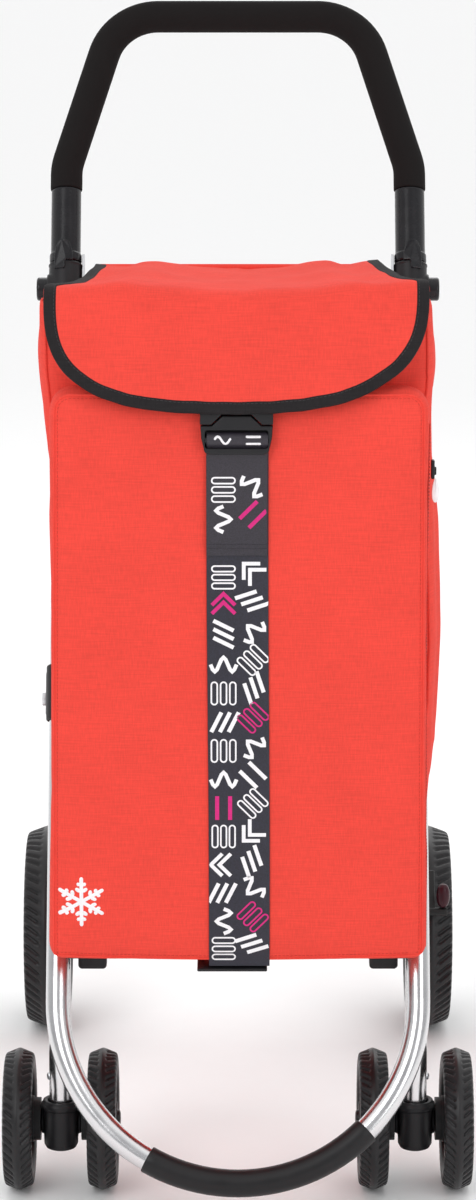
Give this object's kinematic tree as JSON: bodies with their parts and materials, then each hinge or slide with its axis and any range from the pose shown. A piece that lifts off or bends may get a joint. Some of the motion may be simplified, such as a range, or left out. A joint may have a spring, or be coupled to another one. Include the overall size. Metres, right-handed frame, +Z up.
{
  "type": "folding shopping trolley",
  "caption": "Folding shopping trolley: leaning tube frame with a fold-down handle, twin swivel casters, fold-in rear wheels, bag rest and a flap-topped fabric bag.",
  "frame": {"origin": "on the floor, under the middle of the whole trolley's box", "axes": "+Z up, +Y from the bag's front towards the rear wheels, +X to the right of someone facing the bag"},
  "size_m": [0.42, 0.7019, 1.0234],
  "materials": {
    "aluminium_tube": "satin anodised",
    "bare_steel": "zinc plated",
    "black_steel": "satin black",
    "black_plastic": "moulded, fine texture",
    "handle_foam": "matte foam",
    "tyre_rubber": "matte, grooved tread",
    "red_fabric": "fine woven polyester",
    "strap_webbing": "satin printed webbing",
    "base_board": "plain board",
    "pedal_plastic": "dark maroon",
    "zip_metal": "white enamel on black"
  },
  "bodies": {
    "frame": {"main_frame": "aluminium_tube", "bow_grip": "handle_foam", "frame_knuckle_right": "black_plastic", "frame_knuckle_left": "black_plastic", "bag_hook_right": "bare_steel", "bag_hook_left": "bare_steel", "handle_pin_right": "bare_steel", "handle_pin_left": "bare_steel", "leg_bracket_right": "black_plastic", "leg_bracket_left": "black_plastic", "leg_bolt_right": "bare_steel", "leg_bolt_left": "bare_steel", "caster_leg_right": "aluminium_tube", "caster_leg_left": "aluminium_tube", "caster_stem_right": "bare_steel", "caster_stem_left": "bare_steel", "bag_body": "red_fabric", "bag_base_board": "base_board", "front_pocket": "red_fabric", "strap_clip": "black_plastic", "bag_strap": "strap_webbing"},
    "handle": {"handle_tube": "black_steel", "handle_grip": "handle_foam", "handle_end_right": "black_plastic", "handle_end_left": "black_plastic"},
    "button_right": {"handle_button_right": "black_plastic"},
    "button_left": {"handle_button_left": "black_plastic"},
    "rear_frame": {"rear_leg_right": "aluminium_tube", "rear_leg_left": "aluminium_tube", "rear_leg_foot_right": "black_plastic", "rear_leg_foot_left": "black_plastic", "rear_crossbar": "aluminium_tube", "rear_axle": "bare_steel", "axle_cap_right": "black_plastic", "axle_cap_left": "black_plastic", "brake_bracket": "black_plastic"},
    "rear_wheel_right": {"rear_tyre_right": "tyre_rubber", "rear_rim_right": "black_plastic"},
    "rear_wheel_left": {"rear_tyre_left": "tyre_rubber", "rear_rim_left": "black_plastic"},
    "brake": {"brake_lever": "black_steel", "brake_pedal": "pedal_plastic"},
    "rest": {"bag_rest": "black_steel", "rest_pad_right": "black_plastic", "rest_pad_left": "black_plastic"},
    "caster_right": {"caster_housing_right": "black_plastic", "caster_axle_right": "bare_steel"},
    "caster_left": {"caster_housing_left": "black_plastic", "caster_axle_left": "bare_steel"},
    "flap": {"flap": "red_fabric", "flap_clip": "black_plastic"},
    "zip": {"zip_slider": "zip_metal"},
    "caster_wheel_outer_right": {"caster_tyre_outer_right": "tyre_rubber", "caster_rim_outer_right": "black_plastic"},
    "caster_wheel_inner_right": {"caster_tyre_inner_right": "tyre_rubber", "caster_rim_inner_right": "black_plastic"},
    "caster_wheel_outer_left": {"caster_tyre_outer_left": "tyre_rubber", "caster_rim_outer_left": "black_plastic"},
    "caster_wheel_inner_left": {"caster_tyre_inner_left": "tyre_rubber", "caster_rim_inner_left": "black_plastic"}
  },
  "joints": [
    {"name": "handle_fold", "type": "hinge", "parent": "frame", "child": "handle", "pos_m": [0, 0.04081, 0.78478], "axis": [-1, 0, 0], "range_deg": [0, 146]},
    {"name": "button_press_right", "type": "slide", "parent": "frame", "child": "button_right", "axis": [-1, 0, 0], "range_m": [0, 0.0035], "stiffness_N_per_m": 600, "springref_m": -0.002},
    {"name": "button_press_left", "type": "slide", "parent": "frame", "child": "button_left", "axis": [1, 0, 0], "range_m": [0, 0.0035], "stiffness_N_per_m": 600, "springref_m": -0.002},
    {"name": "rear_fold", "type": "hinge", "parent": "frame", "child": "rear_frame", "pos_m": [0, -0.1292, 0.42323], "axis": [-1, 0, 0], "range_deg": [0, 40]},
    {"name": "rest_fold", "type": "hinge", "parent": "frame", "child": "rest", "pos_m": [0, -0.22905, 0.2175], "axis": [-1, 0, 0], "range_deg": [0, 28]},
    {"name": "rear_wheel_spin_right", "type": "hinge", "parent": "rear_frame", "child": "rear_wheel_right", "pos_m": [0.189, 0.25095, 0.1], "axis": [1, 0, 0], "continuous": true},
    {"name": "rear_wheel_spin_left", "type": "hinge", "parent": "rear_frame", "child": "rear_wheel_left", "pos_m": [-0.189, 0.25095, 0.1], "axis": [1, 0, 0], "continuous": true},
    {"name": "brake_turn", "type": "hinge", "parent": "rear_frame", "child": "brake", "pos_m": [0.1565, 0.1422, 0.14652], "axis": [-1, 0, 0], "range_deg": [0, 8]},
    {"name": "flap_open", "type": "hinge", "parent": "frame", "child": "flap", "pos_m": [0, -0.03405, 0.797], "axis": [-1, 0, 0], "range_deg": [0, 100]},
    {"name": "zip_slide", "type": "slide", "parent": "frame", "child": "zip", "axis": [0, 0, -1], "range_m": [0, 0.39]},
    {"name": "caster_swivel_right", "type": "hinge", "parent": "frame", "child": "caster_right", "pos_m": [0.1565, -0.22905, 0.06], "axis": [0, 0, 1], "continuous": true},
    {"name": "caster_spin_outer_right", "type": "hinge", "parent": "caster_right", "child": "caster_wheel_outer_right", "pos_m": [0.1935, -0.21905, 0.0625], "axis": [1, 0, 0], "continuous": true},
    {"name": "caster_spin_inner_right", "type": "hinge", "parent": "caster_right", "child": "caster_wheel_inner_right", "pos_m": [0.1195, -0.21905, 0.0625], "axis": [1, 0, 0], "continuous": true},
    {"name": "caster_swivel_left", "type": "hinge", "parent": "frame", "child": "caster_left", "pos_m": [-0.1565, -0.22905, 0.06], "axis": [0, 0, 1], "continuous": true},
    {"name": "caster_spin_outer_left", "type": "hinge", "parent": "caster_left", "child": "caster_wheel_outer_left", "pos_m": [-0.1935, -0.21905, 0.0625], "axis": [1, 0, 0], "continuous": true},
    {"name": "caster_spin_inner_left", "type": "hinge", "parent": "caster_left", "child": "caster_wheel_inner_left", "pos_m": [-0.1195, -0.21905, 0.0625], "axis": [1, 0, 0], "continuous": true}
  ],
  "couplings": [
    {"joint": "rest_fold", "follows": "rear_fold", "ratio": 0.7}
  ]
}
